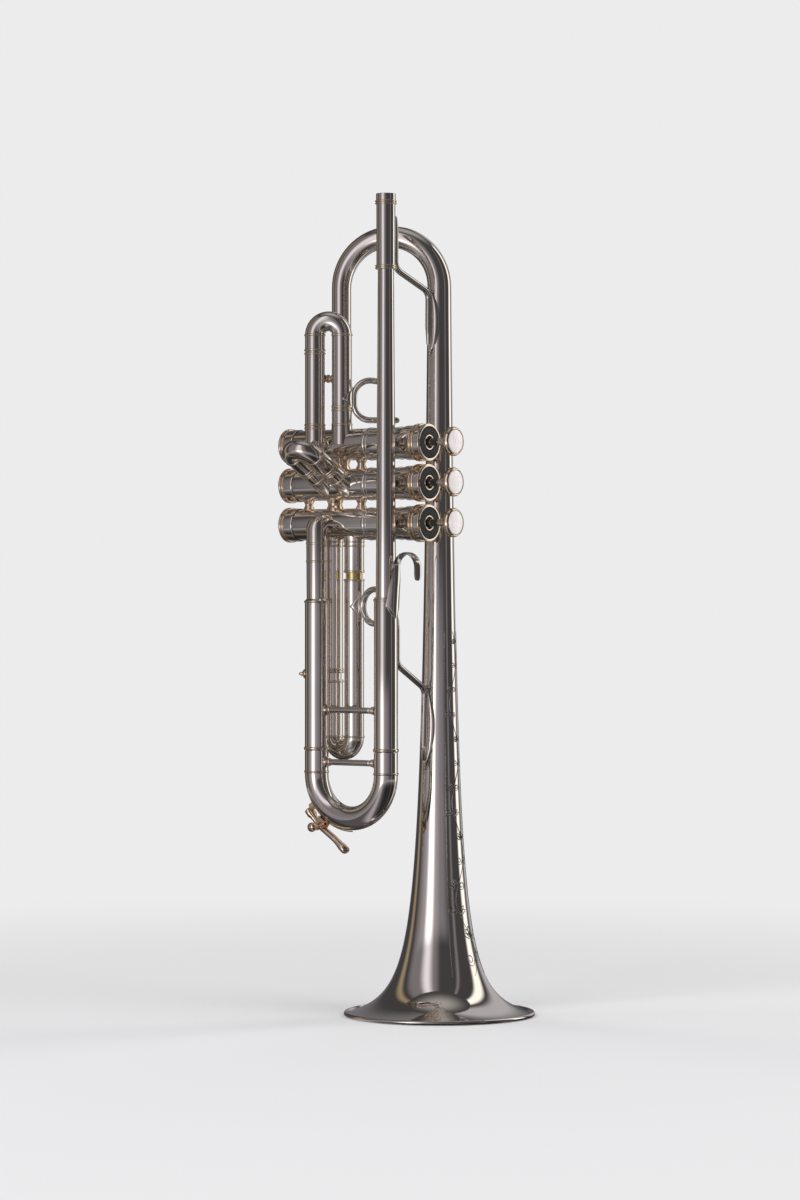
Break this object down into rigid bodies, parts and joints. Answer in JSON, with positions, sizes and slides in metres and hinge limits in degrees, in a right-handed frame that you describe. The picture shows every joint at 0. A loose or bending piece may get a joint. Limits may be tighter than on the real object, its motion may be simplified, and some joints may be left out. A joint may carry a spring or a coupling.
{
  "type": "trumpet",
  "caption": "Silver-plated B-flat piston trumpet that stands on its bell, with sprung valves, pulling slides and a sprung water key.",
  "frame": {"origin": "middle of the box, in the plane of the bell's rim", "axes": "+Z from the bell's rim to the mouthpiece receiver, +X towards the finger buttons, +Y from the leadpipe to the bell"},
  "size_m": [0.1552, 0.138, 0.5015],
  "materials": {
    "silver_plate": "polished silver plate",
    "gold_trim": "polished gold-plated brass",
    "bare_brass": "bare drawn brass",
    "spring_steel": "plain metal, inside the casings",
    "mother_of_pearl": "polished mother-of-pearl",
    "black_felt": "pressed felt",
    "cork": "cut cork"
  },
  "bodies": {
    "trumpet": {"bell_bow": "silver_plate", "bell_flare": "silver_plate", "bell_stem": "silver_plate", "bottom_cap_1": "gold_trim", "bottom_cap_2": "gold_trim", "bottom_cap_3": "gold_trim", "cap_felt_1": "black_felt", "cap_felt_2": "black_felt", "cap_felt_3": "black_felt", "crossover_1_2": "silver_plate", "crossover_2_3": "silver_plate", "first_slide_brace": "gold_trim", "first_slide_lower_sleeve": "silver_plate", "first_slide_upper_stem": "silver_plate", "leadpipe": "silver_plate", "little_finger_hook": "silver_plate", "lower_bell_brace": "silver_plate", "lower_main_sleeve": "silver_plate", "lower_spacer_1_2": "silver_plate", "lower_spacer_2_3": "silver_plate", "mouthpiece_receiver": "gold_trim", "second_slide_lower_sleeve": "silver_plate", "second_slide_upper_sleeve": "silver_plate", "sleeve_brace": "silver_plate", "sleeve_stud": "silver_plate", "third_slide_lower_sleeve": "silver_plate", "third_slide_upper_stem": "bare_brass", "top_cap_1": "gold_trim", "top_cap_2": "gold_trim", "top_cap_3": "gold_trim", "upper_bell_brace": "silver_plate", "upper_main_sleeve": "silver_plate", "upper_spacer_1_2": "silver_plate", "upper_spacer_2_3": "silver_plate", "valve_casing_1": "silver_plate", "valve_casing_2": "silver_plate", "valve_casing_3": "silver_plate", "valve_spring_1": "spring_steel", "valve_spring_2": "spring_steel", "valve_spring_3": "spring_steel"},
    "valve_1": {"button_pearl_1": "mother_of_pearl", "finger_button_1": "gold_trim", "piston_1": "spring_steel"},
    "valve_2": {"button_pearl_2": "mother_of_pearl", "finger_button_2": "gold_trim", "piston_2": "spring_steel"},
    "valve_3": {"button_pearl_3": "mother_of_pearl", "finger_button_3": "gold_trim", "piston_3": "spring_steel"},
    "third_slide": {"finger_ring": "silver_plate", "third_slide_crook": "silver_plate"},
    "first_slide": {"first_slide_crook": "silver_plate", "thumb_saddle": "silver_plate"},
    "main_slide": {"main_slide_brace": "silver_plate", "main_slide_crook": "silver_plate", "water_key_saddle": "gold_trim", "water_key_screw": "gold_trim"},
    "second_slide": {"second_slide_crook": "silver_plate"},
    "water_key": {"water_key_cork": "cork", "water_key_lever": "gold_trim"}
  },
  "joints": [
    {"name": "valve_1_press", "type": "slide", "parent": "trumpet", "child": "valve_1", "axis": [-1, 0, 0], "range_m": [0, 0.0155], "stiffness_N_per_m": 150, "springref_m": -0.0125, "deforming": ["valve_spring_1"]},
    {"name": "valve_2_press", "type": "slide", "parent": "trumpet", "child": "valve_2", "axis": [-1, 0, 0], "range_m": [0, 0.0155], "stiffness_N_per_m": 150, "springref_m": -0.0125, "deforming": ["valve_spring_2"]},
    {"name": "valve_3_press", "type": "slide", "parent": "trumpet", "child": "valve_3", "axis": [-1, 0, 0], "range_m": [0, 0.0155], "stiffness_N_per_m": 150, "springref_m": -0.0125, "deforming": ["valve_spring_3"]},
    {"name": "main_slide_pull", "type": "slide", "parent": "trumpet", "child": "main_slide", "axis": [0, 0, -1], "range_m": [0, 0.045]},
    {"name": "first_slide_throw", "type": "slide", "parent": "trumpet", "child": "first_slide", "axis": [0, 0, 1], "range_m": [0, 0.025]},
    {"name": "second_slide_pull", "type": "slide", "parent": "trumpet", "child": "second_slide", "axis": [0, -0.8746, 0.4848], "range_m": [0, 0.012]},
    {"name": "third_slide_throw", "type": "slide", "parent": "trumpet", "child": "third_slide", "axis": [0, 0, -1], "range_m": [-0.0034, 0.03]},
    {"name": "water_key_swing", "type": "hinge", "parent": "main_slide", "child": "water_key", "pos_m": [-0.03699, -0.03671, 0.11615], "axis": [0, -1, 0], "range_deg": [0, 20], "stiffness_Nm_per_rad": 0.03, "springref_deg": -28.65}
  ]
}
